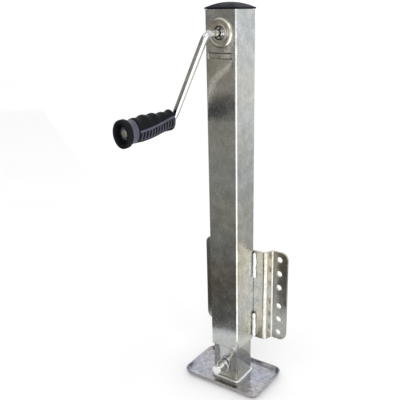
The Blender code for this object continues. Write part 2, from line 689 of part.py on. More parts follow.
def build_drop_leg():
    mesh = square_tube("drop_leg", LEG_SIDE, FOOT_THICK + GAP, LEG_TOP)
    leg = add_part("drop_leg", mesh, (0.64, 0.65, 0.66), 0.3)
    for k in range(LEG_HOLES):
        name = "leg_hole_%d" % k
        centre = (0, 0, PIN_Z + k * LEG_HOLE_PITCH)
        across = cylinder(name, PIN_RADIUS + GAP, -40 * MM, 40 * MM, "Y", centre, 20)
        boolean(leg, add_cutter(name, across))


def foot_ring(grow, height):
    half_x = FOOT_X / 2 - FOOT_FLARE + grow
    half_y = FOOT_Y / 2 - FOOT_FLARE + grow
    return [(x, y, height) for x, y in rounded_outline(half_x, half_y, FOOT_CORNER - FOOT_FLARE + grow, 5)]


def build_foot():
    """Pressed tray: flat sole, rim turned up and outwards all round."""
    thick = FOOT_THICK
    rings = [foot_ring(-1.5 * MM, 0.0), foot_ring(0.8 * MM, 0.6 * MM), foot_ring(2.4 * MM, 2.4 * MM),
             foot_ring(FOOT_FLARE, FOOT_RIM - 1.2 * MM), foot_ring(FOOT_FLARE - 0.6 * MM, FOOT_RIM),
             foot_ring(FOOT_FLARE - 2.6 * MM, FOOT_RIM - 0.4 * MM), foot_ring(-0.6 * MM, thick + 0.9 * MM),
             foot_ring(-2.6 * MM, thick)]
    add_part("foot_plate", loft("foot_plate", rings), (0.6, 0.61, 0.63), 0.32)


def build_foot_weld():
    """Fillet all round the leg, wide enough to show round the foot of the ram tube."""
    inner = LEG_SIDE / 2 + GAP
    low = FOOT_THICK + GAP
    top = RAM_BOTTOM - GAP
    outer = RAM_SIDE / 2 - inner + 4.0 * MM
    sections = []
    shape = ((0.0, low), (outer, low), (outer - 1.2 * MM, top - 1.6 * MM), (outer - 3.4 * MM, top), (0.0, top))
    for grow, height in shape:
        outline = rounded_outline(inner + grow, inner + grow, TUBE_CORNER + GAP + grow)
        sections.append([(x, y, height) for x, y in outline])
    add_part("foot_weld", loft("foot_weld", sections, closed_ring=True), (0.7, 0.7, 0.68), 0.4)


# --------------------------------------------------------------- pull pin

def build_pull_pin():
    """Headed pin through the ram and the leg, with a loose wire ring hanging on its shank."""
    neck = PIN_FRONT_Y + PIN_HEAD_LENGTH
    profile = [(PIN_HEAD_RADIUS - 1.2 * MM, PIN_FRONT_Y), (PIN_HEAD_RADIUS, PIN_FRONT_Y + 1.0 * MM),
               (PIN_HEAD_RADIUS, neck), (PIN_RADIUS, neck), (PIN_RADIUS, PIN_BACK_Y - 2.2 * MM),
               (4.2 * MM, PIN_BACK_Y)]
    mesh = turned_rod("pull_pin", profile, "Y", (0, 0, PIN_Z))
    add_part("pull_pin", mesh, (0.75, 0.75, 0.74), 0.22)
    middle = Vector((0, RING_Y, PIN_Z + PIN_RADIUS + GAP - RING_RADIUS + RING_WIRE))
    sections = []
    for k in range(28):
        turn = 2 * math.pi * k / 28
        outward = Vector((math.cos(turn), 0, math.sin(turn)))
        section = []
        for j in range(8):
            round_wire = 2 * math.pi * j / 8
            section.append(middle + outward * (RING_RADIUS + RING_WIRE * math.cos(round_wire))
                           + Vector((0, RING_WIRE * math.sin(round_wire), 0)))
        sections.append(section)
    add_part("pull_ring", loft("pull_ring", sections, closed_ring=True), (0.75, 0.75, 0.75), 0.2)


def shade_parts():
    for part in PARTS.objects:
        part.data.shade_smooth()
        part.data.set_sharp_from_angle(angle=math.radians(35))


clear_scene()
PARTS = make_collection("trailer_tongue_jack")
CUTTERS = make_collection("cutters")
build_outer_tube()
build_top_cap()
build_crank_boss()
build_bushings()
SHOULDER = build_bearing()
build_bracket()
build_bracket_welds()
build_crank_rod()
build_shaft_clip()
build_driven_gear()
build_drive_pinion()
build_thrust_washer()
build_grip()
build_lead_screw(SHOULDER)
build_ram()
build_drop_leg()
build_foot()
build_foot_weld()
build_pull_pin()
shade_parts()
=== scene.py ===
"""Looks of the trailer tongue jack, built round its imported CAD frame.

Every piece is made in metres in the frame's own axes (+Z up, crank along -Y), rides on its
CAD body and stands for the CAD nodes that it covers.
"""

import json
import math

import bmesh
import bpy
from mathutils import Matrix, Vector, noise


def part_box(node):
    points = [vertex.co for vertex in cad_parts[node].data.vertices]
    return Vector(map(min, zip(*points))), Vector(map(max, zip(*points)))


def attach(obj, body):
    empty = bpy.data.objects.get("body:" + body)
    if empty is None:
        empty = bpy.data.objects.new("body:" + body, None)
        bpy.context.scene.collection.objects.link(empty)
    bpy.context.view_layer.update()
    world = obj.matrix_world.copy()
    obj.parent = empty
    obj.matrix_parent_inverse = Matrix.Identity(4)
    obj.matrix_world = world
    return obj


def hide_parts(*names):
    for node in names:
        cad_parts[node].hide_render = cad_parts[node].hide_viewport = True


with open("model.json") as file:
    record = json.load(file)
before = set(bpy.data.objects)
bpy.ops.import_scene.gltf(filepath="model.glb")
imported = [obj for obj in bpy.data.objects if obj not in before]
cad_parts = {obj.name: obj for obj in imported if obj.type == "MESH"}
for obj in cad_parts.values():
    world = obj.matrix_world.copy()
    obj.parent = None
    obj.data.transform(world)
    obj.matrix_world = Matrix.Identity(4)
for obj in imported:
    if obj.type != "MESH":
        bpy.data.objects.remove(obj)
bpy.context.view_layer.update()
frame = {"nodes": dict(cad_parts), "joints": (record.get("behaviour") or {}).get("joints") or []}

MM = 0.001
GAP = 0.3 * MM
JOINTS = {joint["name"]: joint for joint in frame["joints"]}
SHAFT_Z = JOINTS["crank_spin"]["pos_m"][2]
GRIP_PLACE = Vector(JOINTS["grip_spin"]["pos_m"])
GRIP_AXIS = Vector(JOINTS["grip_spin"]["axis"]).normalized()
PIN_Z = JOINTS["ring_swing"]["pos_m"][2]

TUBE_WALL = 2.0 * MM
TUBE_CORNER = 2.8 * MM
CRIMP_LOW = 541.3 * MM
CRIMP_HIGH = 548.7 * MM
CRIMP_DEPTH = 1.1 * MM
CRIMP_HALF = 21.5 * MM
BOSS_BORE = 9.4 * MM
GRIP_BORE = 8.9 * MM
GRIP_OVAL = 0.78
SLEEVE_STEPS = 56
GRIP_SIDES = 72
ROD_RADIUS = 5.0 * MM
ARM_TOP_Y = -60.0 * MM
ARM_BEND = 9.0 * MM
THREAD_PITCH = 5.08 * MM
BEARING_BALLS = 10
BRACKET_THICK = 4 * MM
BOLT_X = 66.0 * MM
BOLT_HOLE = 5.2 * MM
BOLT_PITCH = 25.4 * MM
BOLT_MIDDLE = 34.9 * MM
FOOT_CORNER = 16 * MM
PIN_RADIUS = 6 * MM
PIN_HOLE = 6.3 * MM
SLEEVE_HOLE = 7.6 * MM
LEG_HOLE_PITCH = 38.1 * MM
LEG_HOLES = 6


# ------------------------------------------------------------- mesh tools

def new_piece(name, bm, sharp=35):
    """Object from bm, smooth shaded apart from edges that turn more than sharp degrees."""
    bmesh.ops.recalc_face_normals(bm, faces=bm.faces)
    for face in bm.faces:
        face.smooth = True
    for edge in bm.edges:
        if len(edge.link_faces) == 2 and edge.calc_face_angle() > math.radians(sharp):
            edge.smooth = False
    mesh = bpy.data.meshes.new(name)
    bm.to_mesh(mesh)
    bm.free()
    piece = bpy.data.objects.new(name, mesh)
    bpy.context.scene.collection.objects.link(piece)
    return piece


def skin(bm, rings, closed_ring=False):
    """Faces between neighbouring rings of points, with end caps unless the rings close up."""
    rows = [[bm.verts.new(p) for p in ring] for ring in rings]
    pairs = list(zip(rows, rows[1:]))
    if closed_ring:
        pairs.append((rows[-1], rows[0]))
    for here, there in pairs:
        for k in range(len(here)):
            after = (k + 1) % len(here)
            bm.faces.new((here[k], here[after], there[after], there[k]))
    if not closed_ring:
        bm.faces.new(list(reversed(rows[0])))
        bm.faces.new(rows[-1])


def loft(name, rings, closed_ring=False, sharp=35):
    bm = bmesh.new()
    skin(bm, rings, closed_ring)
    return new_piece(name, bm, sharp)


def rounded_outline(half_x, half_y, corner, flat=1, arc=8):
    """Anticlockwise rounded rectangle, with flat steps along each side and arc steps a corner."""
    points = []
    for quarter in range(4):
        turn = quarter * math.pi / 2
        along = half_x if quarter % 2 == 0 else half_y
        across = half_y if quarter % 2 == 0 else half_x
        side = []
        for k in range(flat):
            side.append((-(along - corner) + 2 * (along - corner) * k / flat, -across))
        for k in range(arc):
            bend = math.pi / 2 * k / arc
            side.append((along - corner + corner * math.sin(bend),
                         -across + corner - corner * math.cos(bend)))
        for x, y in side:
            points.append((x * math.cos(turn) - y * math.sin(turn),
                           x * math.sin(turn) + y * math.cos(turn)))
    return points


def circle(radius, height, sides):
    turns = [2 * math.pi * k / sides for k in range(sides)]
    return [Vector((radius * math.cos(t), radius * math.sin(t), height)) for t in turns]


def turned(name, profile, place, sides=64, ring=True):
    """Turned piece about local Z from (radius, height) pairs; a ring has a bore, a rod has none."""
    rings = [[place @ p for p in circle(radius, height, sides)] for radius, height in profile]
    return loft(name, rings, closed_ring=ring)


def curve_through(points, steps=6):
    """Catmull-Rom curve through 2D or 3D points."""
    line = [Vector(p) for p in points]
    ends = [line[0] * 2 - line[1]] + line + [line[-1] * 2 - line[-2]]
    made = []
    for a, b, c, d in zip(ends, ends[1:], ends[2:], ends[3:]):
        for k in range(steps):
            t = k / steps
            made.append(0.5 * (2 * b + (c - a) * t + (2 * a - 5 * b + 4 * c - d) * t ** 2
                               + (3 * b - a - 3 * c + d) * t ** 3))
    made.append(line[-1])
    return made


def fillet_path(corners, radius, steps=10):
    """Polyline with each inner corner rounded to radius."""
    points = [Vector(c) for c in corners]
    path = [points[0]]
    for before, corner, after in zip(points, points[1:], points[2:]):
        back = (before - corner).normalized()
        ahead = (after - corner).normalized()
        half = back.angle(ahead) / 2
        middle = corner + (back + ahead).normalized() * (radius / math.sin(half))
        first = (corner + back * (radius / math.tan(half)) - middle).normalized()
        last = (corner + ahead * (radius / math.tan(half)) - middle).normalized()
        for k in range(steps + 1):
            path.append(middle + first.slerp(last, k / steps) * radius)
    path.append(points[-1])
    return path


def sweep(name, path, radii, sides=24, closed=False, up=(1, 0, 0)):
    """Round bar along path, with one radius for each point; its first section starts at up."""
    count = len(path)
    rings = []
    side = Vector(up)
    for k, point in enumerate(path):
        before = path[(k - 1) % count] if closed or k > 0 else point
        after = path[(k + 1) % count] if closed or k < count - 1 else point
        along = (after - before).normalized()
        side = (side - along * side.dot(along)).normalized()
        other = along.cross(side)
        ring = []
        for j in range(sides):
            turn = 2 * math.pi * j / sides
            ring.append(point + side * (radii[k] * math.cos(turn)) + other * (radii[k] * math.sin(turn)))
        rings.append(ring)
    return loft(name, rings, closed_ring=closed)


def axis_place(axis, centre):
    """Matrix that takes local +Z to the direction axis, with its origin at centre."""
    turn = Vector((0, 0, 1)).rotation_difference(Vector(axis))
    return Matrix.Translation(centre) @ turn.to_matrix().to_4x4()


def cut_with(piece, cutters, operation="DIFFERENCE"):
    """Exact boolean of piece with each cutter; the cutters are then deleted."""
    for cutter in cutters:
        step = piece.modifiers.new("Cut", "BOOLEAN")
        step.object = cutter
        step.operation = operation
        step.solver = "EXACT"
    settle(piece)
    for cutter in cutters:
        bpy.data.objects.remove(cutter, do_unlink=True)


def round_edges(piece, width, segments=2, angle=30):
    bevel = piece.modifiers.new("Edges", "BEVEL")
    bevel.width = width
    bevel.segments = segments
    bevel.limit_method = "ANGLE"
    bevel.angle_limit = math.radians(angle)
    bevel.harden_normals = True
    settle(piece)


def settle(piece):
    """Applies the piece's modifiers."""
    graph = bpy.context.evaluated_depsgraph_get()
    made = bpy.data.meshes.new_from_object(piece.evaluated_get(graph), depsgraph=graph)
    piece.modifiers.clear()
    piece.data = made


def shade(piece, sharp=35):
    """Smooth shading again after a boolean."""
    bm = bmesh.new()
    bm.from_mesh(piece.data)
    for face in bm.faces:
        face.smooth = True
    for edge in bm.edges:
        turned_by = edge.calc_face_angle(0.0) if len(edge.link_faces) == 2 else math.pi
        edge.smooth = turned_by < math.radians(sharp)
    bm.to_mesh(piece.data)
    bm.free()


def place_piece(piece, body, material, nodes):
    piece.data.materials.clear()
    piece.data.materials.append(material)
    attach(piece, body)
    if nodes:
        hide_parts(*nodes)


def soft_step(low, high, value):
    share = min(1.0, max(0.0, (value - low) / (high - low)))
    return share * share * (3 - 2 * share)


# -------------------------------------------------------------- materials

def start_material(name, metallic, roughness):
    material = bpy.data.materials.new(name)
    material.use_nodes = True
    tree = material.node_tree
    shader = tree.nodes["Principled BSDF"]
    shader.inputs["Metallic"].default_value = metallic
    shader.inputs["Roughness"].default_value = roughness
    return material, tree, shader


def add_node(tree, kind, settings=None, **values):
    made = tree.nodes.new(kind)
    for key, value in (settings or {}).items():
        setattr(made, key, value)
    for key, value in values.items():
        made.inputs[key.replace("_", " ")].default_value = value
    return made


def noise_field(tree, where, size, detail=3.0, stretch=(1, 1, 1)):
    """Noise of about that feature size in metres, stretched along the axes."""
    scaled = add_node(tree, "ShaderNodeMapping", Scale=stretch)
    tree.links.new(where, scaled.inputs["Vector"])
    field = add_node(tree, "ShaderNodeTexNoise", Scale=1 / size, Detail=detail)
    tree.links.new(scaled.outputs["Vector"], field.inputs["Vector"])
    return field.outputs["Fac"]


def ramp(tree, value, stops):
    """Colour ramp with (position, colour) stops."""
    made = add_node(tree, "ShaderNodeValToRGB")
    marks = made.color_ramp.elements
    while len(marks) < len(stops):
        marks.new(0.5)
    for mark, (position, colour) in zip(marks, stops):
        mark.position = position
        mark.color = (*colour, 1.0)
    tree.links.new(value, made.inputs["Fac"])
    return made.outputs["Color"]


def spread(tree, value, low, high, start=0.3, end=0.7):
    made = add_node(tree, "ShaderNodeMapRange")
    for key, number in (("From Min", start), ("From Max", end), ("To Min", low), ("To Max", high)):
        made.inputs[key].default_value = number
    tree.links.new(value, made.inputs["Value"])
    return made.outputs["Result"]


def blend(tree, first, second, share):
    made = add_node(tree, "ShaderNodeMix", {"data_type": "FLOAT"})
    made.inputs["Factor"].default_value = share
    tree.links.new(first, made.inputs["A"])
    tree.links.new(second, made.inputs["B"])
    return made.outputs["Result"]


def bump(tree, shader, height, distance, strength=1.0, normal=None):
    made = add_node(tree, "ShaderNodeBump", Strength=strength, Distance=distance)
    tree.links.new(height, made.inputs["Height"])
    if normal is not None:
        tree.links.new(normal, made.inputs["Normal"])
    tree.links.new(made.outputs["Normal"], shader.inputs["Normal"])


def tilted_cells(tree, where, size, tilt):
    """Flat crystals: each cell has a shade of its own and a normal that leans a little."""
    cells = add_node(tree, "ShaderNodeTexVoronoi", Scale=1 / size)
    tree.links.new(where, cells.inputs["Vector"])
    middle = add_node(tree, "ShaderNodeVectorMath", {"operation": "SUBTRACT"})
    middle.inputs[1].default_value = (0.5, 0.5, 0.5)
    tree.links.new(cells.outputs["Color"], middle.inputs[0])
    lean = add_node(tree, "ShaderNodeVectorMath", {"operation": "SCALE"}, Scale=tilt)
    tree.links.new(middle.outputs["Vector"], lean.inputs[0])
    surface = add_node(tree, "ShaderNodeNewGeometry")
    total = add_node(tree, "ShaderNodeVectorMath", {"operation": "ADD"})
    tree.links.new(surface.outputs["Normal"], total.inputs[0])
    tree.links.new(lean.outputs["Vector"], total.inputs[1])
    unit = add_node(tree, "ShaderNodeVectorMath", {"operation": "NORMALIZE"})
    tree.links.new(total.outputs["Vector"], unit.inputs[0])
    parts = add_node(tree, "ShaderNodeSeparateColor")
    tree.links.new(cells.outputs["Color"], parts.inputs["Color"])
    return parts.outputs["Red"], unit.outputs["Vector"]


def painted_crease_shade(tree, where, colour):
    """Painted shade: dark lines along the two long edges of the rolled crimp."""
    axes = add_node(tree, "ShaderNodeSeparateXYZ")
    tree.links.new(where, axes.inputs["Vector"])
    masks = []
    for edge in (CRIMP_LOW, CRIMP_HIGH):
        away = add_node(tree, "ShaderNodeMath", {"operation": "SUBTRACT"})
        away.inputs[1].default_value = edge
        tree.links.new(axes.outputs["Z"], away.inputs[0])
        size = add_node(tree, "ShaderNodeMath", {"operation": "ABSOLUTE"})
        tree.links.new(away.outputs["Value"], size.inputs[0])
        masks.append(spread(tree, size.outputs["Value"], 0.8, 0.0, 0.4 * MM, 1.1 * MM))
    side = add_node(tree, "ShaderNodeMath", {"operation": "ABSOLUTE"})
    tree.links.new(axes.outputs["X"], side.inputs[0])
    inside = spread(tree, side.outputs["Value"], 1.0, 0.0, CRIMP_HALF - 3 * MM, CRIMP_HALF - MM)
    both = add_node(tree, "ShaderNodeMath", {"operation": "MAXIMUM"})
    tree.links.new(masks[0], both.inputs[0])
    tree.links.new(masks[1], both.inputs[1])
    share = add_node(tree, "ShaderNodeMath", {"operation": "MULTIPLY"})
    tree.links.new(both.outputs["Value"], share.inputs[0])
    tree.links.new(inside, share.inputs[1])
    shaded = add_node(tree, "ShaderNodeMix", {"data_type": "RGBA"})
    tree.links.new(share.outputs["Value"], shaded.inputs["Factor"])
    tree.links.new(colour, shaded.inputs[6])
    # Near-black colour of the painted shade in the crimp's edges.
    shaded.inputs[7].default_value = (0.05, 0.045, 0.04, 1.0)
    return shaded.outputs[2]


def zinc(name, dark, light, roughness, cell=2.6 * MM, tilt=0.03, streaks=(1, 1, 0.2), crystals=0.5,
         shade_crease=False):
    """Zinc coated steel: crystals, cloudy patches, fine drawn streaks, warm and cool stains, and painted
    shade along the crimp's edges when asked.
    """
    material, tree, shader = start_material(name, 1.0, roughness[0])
    where = add_node(tree, "ShaderNodeTexCoord").outputs["Object"]
    crystal, normal = tilted_cells(tree, where, cell, tilt)
    cloud = noise_field(tree, where, 15 * MM, 4.0)
    drawn = noise_field(tree, where, 1.6 * MM, 2.0, streaks)
    tone = blend(tree, blend(tree, cloud, crystal, crystals), drawn, 0.25)
    colour = ramp(tree, tone, [(0.25, dark), (0.75, light)])
    stain = noise_field(tree, where, 90 * MM, 3.0)
    tint = ramp(tree, stain, [(0.38, (0.93, 0.97, 1.0)), (0.5, (1.0, 0.99, 0.96)), (0.62, (1.0, 0.97, 0.87))])
    stained = add_node(tree, "ShaderNodeMix", {"data_type": "RGBA", "blend_type": "MULTIPLY"})
    stained.inputs["Factor"].default_value = 1.0
    tree.links.new(colour, stained.inputs[6])
    tree.links.new(tint, stained.inputs[7])
    finish = painted_crease_shade(tree, where, stained.outputs[2]) if shade_crease else stained.outputs[2]
    tree.links.new(finish, shader.inputs["Base Color"])
    rough = spread(tree, blend(tree, cloud, drawn, 0.4), *roughness)
    tree.links.new(rough, shader.inputs["Roughness"])
    bump(tree, shader, drawn, 0.02 * MM, 0.35, normal)
    return material


def bright_metal(name, dark, light, roughness, streaks=(1, 1, 0.15)):
    """Plated bar or pin: smooth, with faint streaks and small dull patches."""
    material, tree, shader = start_material(name, 1.0, roughness[0])
    where = add_node(tree, "ShaderNodeTexCoord").outputs["Object"]
    cloud = noise_field(tree, where, 9 * MM, 3.0)
    drawn = noise_field(tree, where, 0.8 * MM, 2.0, streaks)
    tone = blend(tree, cloud, drawn, 0.5)
    tree.links.new(ramp(tree, tone, [(0.3, dark), (0.68, light)]), shader.inputs["Base Color"])
    tree.links.new(spread(tree, cloud, *roughness), shader.inputs["Roughness"])
    bump(tree, shader, drawn, 0.01 * MM, 0.3)
    return material


def moulded(name, dark, light, roughness, gloss, grain=0.5 * MM, depth=0.03 * MM):
    """Moulded rubber or plastic: fine grain and slightly shiny worn patches."""
    material, tree, shader = start_material(name, 0.0, roughness[0])
    where = add_node(tree, "ShaderNodeTexCoord").outputs["Object"]
    cloud = noise_field(tree, where, 12 * MM, 3.0)
    fine = noise_field(tree, where, grain, 2.0)
    tone = blend(tree, cloud, fine, 0.4)
    tree.links.new(ramp(tree, tone, [(0.3, dark), (0.7, light)]), shader.inputs["Base Color"])
    tree.links.new(spread(tree, cloud, *roughness), shader.inputs["Roughness"])
    shader.inputs["Specular IOR Level"].default_value = gloss
    bump(tree, shader, fine, depth, 0.5)
    return material


def weld_metal(name):
    """Zinc over a weld: bright ripples with pits and dull flecks."""
    material, tree, shader = start_material(name, 1.0, 0.3)
    where = add_node(tree, "ShaderNodeTexCoord").outputs["Object"]
    lumps = noise_field(tree, where, 1.8 * MM, 4.0)
    stops = [(0.3, (0.5, 0.5, 0.47)), (0.48, (0.86, 0.86, 0.84)), (0.62, (0.95, 0.95, 0.94))]
    tree.links.new(ramp(tree, lumps, stops), shader.inputs["Base Color"])
    tree.links.new(spread(tree, lumps, 0.45, 0.2), shader.inputs["Roughness"])
    bump(tree, shader, lumps, 0.3 * MM, 0.6)
    return material


TUBE_TONES = ((0.38, 0.38, 0.365), (0.68, 0.685, 0.67), (0.18, 0.3))
TUBE_ZINC = zinc("galvanised_tube", *TUBE_TONES, crystals=0.2)
# The housing's zinc has painted shade along the crimp's two edges.
HOUSING_ZINC = zinc("galvanised_housing", *TUBE_TONES, crystals=0.2, shade_crease=True)
PLATE_ZINC = zinc("galvanised_plate", (0.35, 0.34, 0.315), (0.52, 0.51, 0.475), (0.14, 0.26), 2.6 * MM, 0.03)
FOOT_ZINC = zinc("galvanised_foot", (0.24, 0.24, 0.28), (0.56, 0.56, 0.61), (0.09, 0.22), 5 * MM, 0.03,
                 (1, 1, 1), 0.3)
BRIGHT = bright_metal("bright_zinc", (0.46, 0.46, 0.455), (0.68, 0.68, 0.67), (0.08, 0.16))
PIN_ZINC = bright_metal("pin_zinc", (0.7, 0.7, 0.69), (0.9, 0.9, 0.89), (0.08, 0.16))
DISH_ZINC = bright_metal("warm_zinc", (0.44, 0.42, 0.36), (0.62, 0.6, 0.53), (0.2, 0.32), (1, 1, 1))
WELD = weld_metal("weld_zinc")
BLACK_PLASTIC = moulded("black_plastic", (0.004, 0.005, 0.009), (0.01, 0.012, 0.018), (0.4, 0.55), 0.06)
BLACK_RUBBER = moulded("black_rubber", (0.002, 0.003, 0.004), (0.006, 0.008, 0.01), (0.5, 0.66), 0.12,
                       0.4 * MM, 0.05 * MM)
GREY_PLASTIC = moulded("grey_plastic", (0.06, 0.064, 0.095), (0.1, 0.105, 0.15), (0.42, 0.58), 0.3)
BRONZE = bright_metal("bronze", (0.4, 0.26, 0.1), (0.6, 0.4, 0.18), (0.25, 0.4))
GEAR_STEEL = bright_metal("gear_steel", (0.26, 0.25, 0.23), (0.46, 0.45, 0.42), (0.28, 0.45))
# Near-black steel: painted shade for the dark gap round the crank shaft in the boss.
HUB_SHADE_STEEL = bright_metal("hub_shade_steel", (0.03, 0.03, 0.035), (0.08, 0.08, 0.09), (0.3, 0.45))
BEARING_STEEL = bright_metal("bearing_steel", (0.5, 0.5, 0.5), (0.74, 0.74, 0.74), (0.1, 0.2))


# ------------------------------------------------------- tubes, cap, boss

def pressed_in(x, z):
    """Depth of the rolled crimp in the front and back faces at this place."""
    band = soft_step(CRIMP_LOW - 0.5 * MM, CRIMP_LOW + 0.6 * MM, z)
    band *= 1 - soft_step(CRIMP_HIGH - 0.6 * MM, CRIMP_HIGH + 0.5 * MM, z)
    ends = soft_step(-CRIMP_HALF - MM, -CRIMP_HALF + MM, x)
    ends *= 1 - soft_step(CRIMP_HALF - 8 * MM, CRIMP_HALF, x)
    return CRIMP_DEPTH * band * ends


def tube_ring(half, corner, z, flat, crimped=False):
    ring = []
    for x, y in rounded_outline(half, half, corner, flat):
        if crimped and abs(y) > half - 0.05 * MM:
            y -= math.copysign(pressed_in(x, z), y)
        ring.append(Vector((x, y, z)))
    return ring


def build_outer_tube():
    low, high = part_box("outer_tube")
    half = high.x
    lip = 0.5 * MM
    heights = [low.z + 40 * MM * k for k in range(12)]
    heights += [CRIMP_LOW - MM + 0.55 * MM * k for k in range(18)]
    heights += [high.z - 30 * MM]
    rings = [tube_ring(half - lip, TUBE_CORNER - lip, low.z, 40)]
    rings.append(tube_ring(half - lip * 0.3, TUBE_CORNER, low.z + lip * 0.3, 40))
    for z in heights:
        rings.append(tube_ring(half, TUBE_CORNER, z + lip, 40, crimped=True))
    rings.append(tube_ring(half, TUBE_CORNER, high.z, 40))
    inner = half - TUBE_WALL
    for z in (high.z, low.z + lip, low.z):
        reach = inner + (lip if z == low.z else 0)
        rings.append(tube_ring(reach, TUBE_CORNER - TUBE_WALL, z, 40))
    tube = loft("tube_shell", rings, closed_ring=True, sharp=50)
    place_piece(tube, "housing", HOUSING_ZINC, ["outer_tube"])


def build_square_inner(name, node, holes):
    """Inner square tube with rounded lips and round holes through its front and back."""
    low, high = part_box(node)
    half = high.x
    lip = 0.4 * MM
    rings = []
    inner = half - TUBE_WALL
    for reach, z in ((half - lip, low.z), (half, low.z + lip), (half, high.z - lip), (half - lip, high.z),
                     (inner, high.z), (inner, low.z)):
        rings.append(tube_ring(reach, TUBE_CORNER - (half - reach) * 0.7, z, 6))
    tube = loft(name, rings, closed_ring=True, sharp=50)
    cutters = []
    for radius, z in holes:
        place = axis_place((0, -1, 0), (0, 0, z))
        cutters.append(turned("hole", [(radius, -2 * half), (radius, 2 * half)], place, 48, ring=False))
    cut_with(tube, cutters)
    shade(tube, 50)
    place_piece(tube, "ram", TUBE_ZINC, [node])


def build_cap():
    """Pushed-in cap: thin lip over the tube's end and a pillow top."""
    low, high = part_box("top_cap")
    reach = high.x
    tube_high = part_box("outer_tube")[1]
    lip_low = tube_high.z + GAP
    plug = tube_high.x - TUBE_WALL - GAP
    corner = 4.0 * MM
    rings = []
    shape = ((plug - 0.6 * MM, 1.8 * MM, low.z), (plug, 2.2 * MM, low.z + MM), (plug, 2.2 * MM, lip_low),
             (reach - 0.5 * MM, corner - 0.4 * MM, lip_low), (reach, corner, lip_low + 0.5 * MM),
             (reach, corner, lip_low + 1.6 * MM), (reach - 0.3 * MM, corner, lip_low + 2.1 * MM))
    for half, bend, z in shape:
        rings.append([Vector((x, y, z)) for x, y in rounded_outline(half, half, bend, 10)])
    base = lip_low + 2.2 * MM
    steps = 18
    for k in range(1, steps):
        share = k / steps
        half = (reach - 0.8 * MM) * (1 - share)
        height = base + (high.z - base) * (1 - (1 - share) ** 2.1)
        bend = max(half * 0.16, (4 + 5 * share) * MM * (1 - share))
        rings.append([Vector((x, y, height)) for x, y in rounded_outline(half, half, bend, 10)])
    cap = loft("cap_dome", rings, sharp=60)
    place_piece(cap, "housing", BLACK_PLASTIC, ["top_cap"])


def build_boss():
    """Pressed disc round the crank shaft: rounded rim, slightly hollow face and a turned lip."""
    low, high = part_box("crank_boss")
    radius = high.x
    rise = high.y - low.y
    bore = BOSS_BORE
    shape = [(radius, 0.0), (radius, 0.8 * MM), (radius - 0.6 * MM, 2.2 * MM), (radius - 1.9 * MM, 3.5 * MM),
             (radius - 3.6 * MM, rise - 0.1 * MM), (radius - 4.6 * MM, rise - 0.1 * MM),
             (radius - 6.0 * MM, rise - 0.7 * MM), (bore + 3.0 * MM, rise - 0.8 * MM),
             (bore + 1.5 * MM, rise - 0.3 * MM), (bore + 0.6 * MM, rise - 0.3 * MM), (bore, rise - 1.0 * MM)]
    profile = [(p.x, p.y) for p in curve_through(shape, 5)] + [(bore, 0.0)]
    place = axis_place((0, -1, 0), (0, high.y, SHAFT_Z))
    boss = turned("boss_dish", profile, place, 96)
    place_piece(boss, "housing", DISH_ZINC, ["crank_boss"])


# ------------------------------------------------------ bracket and welds

def bracket_line():
    """Middle line of the folded plate, from the left flange to the right one."""
    low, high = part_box("mounting_bracket")
    web = low.y + BRACKET_THICK / 2
    flange = high.y - BRACKET_THICK / 2
    right = [(47 * MM, web, 0), (52 * MM, flange, 0), (high.x, flange, 0)]
    left = [(-x, y, z) for x, y, z in reversed(right)]
    return fillet_path(left + right, 5 * MM, 8)


def build_bracket():
    low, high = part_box("mounting_bracket")
    line = bracket_line()
    outline = []
    for side in (1, -1):
        points = []
        for k, point in enumerate(line):
            along = (line[min(k + 1, len(line) - 1)] - line[max(k - 1, 0)]).normalized()
            points.append(point + Vector((-along.y, along.x, 0)) * (side * BRACKET_THICK / 2))
        outline += points if side == 1 else list(reversed(points))
    rings = [[Vector((p.x, p.y, z)) for p in outline] for z in (low.z, high.z)]
    plate = loft("bracket_plate", rings)
    middle = (low.z + high.z) / 2
    half_z = (high.z - low.z) / 2
    sections = []
    for y in (low.y - 10 * MM, high.y + 10 * MM):
        shape = rounded_outline(high.x - 0.02 * MM, half_z - 0.02 * MM, 12 * MM, 1, 12)
        sections.append([Vector((x, y, middle + z)) for x, z in shape])
    cut_with(plate, [loft("bracket_outline", sections)], "INTERSECT")
    cutters = []
    first = BOLT_MIDDLE / 2
    for side in (-1, 1):
        for step in (first, first + BOLT_PITCH, first + 2 * BOLT_PITCH):
            for updown in (-1, 1):
                centre = (side * BOLT_X, high.y - BRACKET_THICK / 2, middle + updown * step)
                place = axis_place((0, 1, 0), centre)
                profile = [(BOLT_HOLE, -2 * BRACKET_THICK), (BOLT_HOLE, 2 * BRACKET_THICK)]
                cutters.append(turned("hole", profile, place, 40, ring=False))
    cut_with(plate, cutters)
    round_edges(plate, 0.55 * MM, 2, 40)
    place_piece(plate, "housing", PLATE_ZINC, ["mounting_bracket"])


def weld_bead(name, node, path, radius, seed):
    """Row of overlapping weld ripples along path."""
    radii = []
    travelled = 0.0
    length = sum((b - a).length for a, b in zip(path, path[1:]))
    for k, point in enumerate(path):
        if k:
            travelled += (point - path[k - 1]).length
        ripple = abs(math.sin(math.pi * travelled / (2.3 * MM)))
        wobble = noise.noise(point * 160 + Vector((seed, 0, 0)))
        ends = min(1.0, 0.35 + 0.65 * min(travelled, length - travelled) / (2 * MM))
        radii.append(radius * ends * (0.8 + 0.2 * ripple + 0.16 * wobble))
    bead = sweep(name, path, radii, 14)
    place_piece(bead, "housing", WELD, [node])


def build_bracket_welds():
    for k, node in enumerate(sorted(n for n in frame["nodes"] if n.startswith("bracket_weld"))):
        low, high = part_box(node)
        middle = (low + high) / 2
        radius = (high.x - low.x) / 2 + 0.4 * MM
        steps = 100
        path = []
        for s in range(steps + 1):
            z = low.z + 0.6 * MM + (high.z - low.z - 1.2 * MM) * s / steps
            sway = 0.5 * MM * noise.noise(Vector((k * 7.0, 0, z * 90)))
            path.append(Vector((middle.x + sway, middle.y + sway, z)))
        weld_bead(node.replace("bracket_weld", "bracket_bead"), node, path, radius, k * 3.7)


